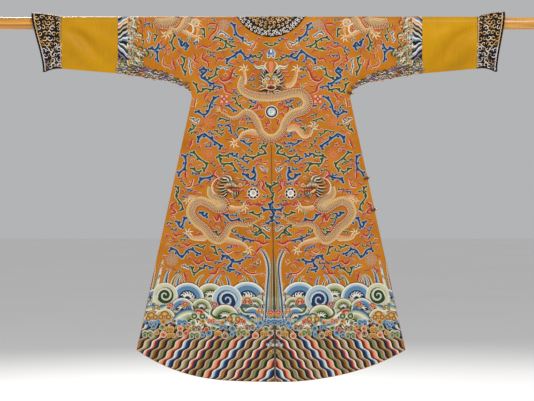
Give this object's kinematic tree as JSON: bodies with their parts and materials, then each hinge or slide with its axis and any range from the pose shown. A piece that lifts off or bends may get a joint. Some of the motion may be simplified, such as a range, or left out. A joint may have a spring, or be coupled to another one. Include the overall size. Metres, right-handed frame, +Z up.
{
  "type": "chinese dragon robe on a display rod",
  "caption": "Formal silk robe with dragons, clouds and a striped wave hem, horse-hoof cuffs and toggles down the wearer's right side, hung flat on a round wooden display rod.",
  "frame": {"origin": "on the display rod's axis, in the middle of the robe", "axes": "+X along the rod to the wearer's right, +Z up; the robe's back, which is the side shown, faces -Y and its front faces +Y"},
  "size_m": [2.15, 0.0786, 1.4424],
  "materials": {
    "ground_silk": "satin silk, embroidered",
    "yellow_silk": "plain satin silk",
    "dark_silk": "satin silk, embroidered",
    "gilt": "gilt, polished",
    "wood": "varnished"
  },
  "bodies": {
    "root": {"rod": "wood", "body_left": "ground_silk", "body_right": "ground_silk", "overlap": "ground_silk", "overlap_band": "dark_silk", "neck_band": "dark_silk", "neck_piping": "dark_silk", "sleeve_left": "yellow_silk", "sleeve_right": "yellow_silk", "cuff_left": "dark_silk", "cuff_right": "dark_silk", "cuff_binding_left": "dark_silk", "cuff_binding_right": "dark_silk", "button_1": "gilt", "button_2": "gilt", "button_3": "gilt", "button_4": "gilt", "button_5": "gilt", "loop_1": "dark_silk", "loop_2": "dark_silk", "loop_3": "dark_silk", "loop_4": "dark_silk", "loop_5": "dark_silk", "stem_1": "dark_silk", "stem_2": "dark_silk", "stem_3": "dark_silk", "stem_4": "dark_silk", "stem_5": "dark_silk"}
  },
  "joints": []
}
